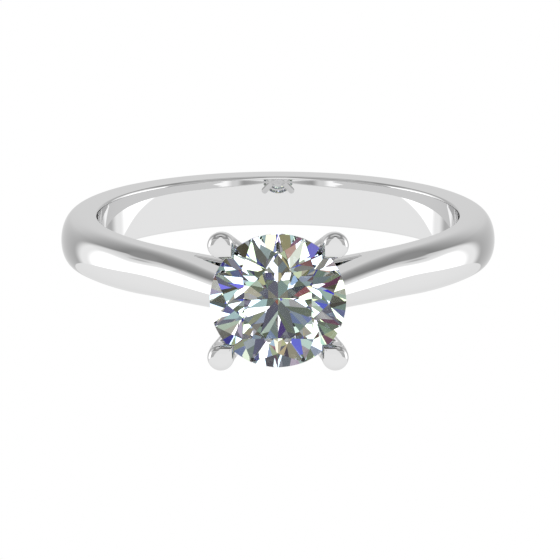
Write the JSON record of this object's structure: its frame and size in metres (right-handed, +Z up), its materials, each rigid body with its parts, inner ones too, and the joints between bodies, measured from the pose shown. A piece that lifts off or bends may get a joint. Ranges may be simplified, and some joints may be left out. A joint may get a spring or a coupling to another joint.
{
  "type": "solitaire engagement ring",
  "caption": "Polished white gold finger ring lying on its side: a round brilliant stone in a claw head between straight shoulders that rise from a flat-sided band.",
  "frame": {"origin": "on the table that the ring lies on, below the middle of the ring's length and width", "axes": "+Z up off the table; the stone faces -Y, tipped 5 degrees up from level because the ring rests on the two lower claws and on the back of the band; +X to the right of someone who faces the stone; the finger hole runs along Z, tipped the same 5 degrees"},
  "size_m": [0.0212, 0.0256, 0.0067],
  "materials": {
    "shank_white_gold": "white gold, rhodium plated, polished to a mirror",
    "bridge_white_gold": "white gold, rhodium plated, polished to a mirror",
    "cup_white_gold": "white gold, rhodium plated, polished to a mirror",
    "rail_white_gold": "white gold wire, rhodium plated, polished to a mirror",
    "claw_1_white_gold": "white gold, rhodium plated, polished to a mirror",
    "claw_2_white_gold": "white gold, rhodium plated, polished to a mirror",
    "claw_3_white_gold": "white gold, rhodium plated, polished to a mirror",
    "claw_4_white_gold": "white gold, rhodium plated, polished to a mirror",
    "diamond_brilliant": "clear colourless diamond with polished facets, round brilliant cut"
  },
  "bodies": {
    "root": {"shank": "shank_white_gold", "bridge": "bridge_white_gold", "head_cup": "cup_white_gold", "gallery_rail": "rail_white_gold", "claw_1": "claw_1_white_gold", "claw_2": "claw_2_white_gold", "claw_3": "claw_3_white_gold", "claw_4": "claw_4_white_gold", "diamond": "diamond_brilliant"}
  },
  "joints": []
}
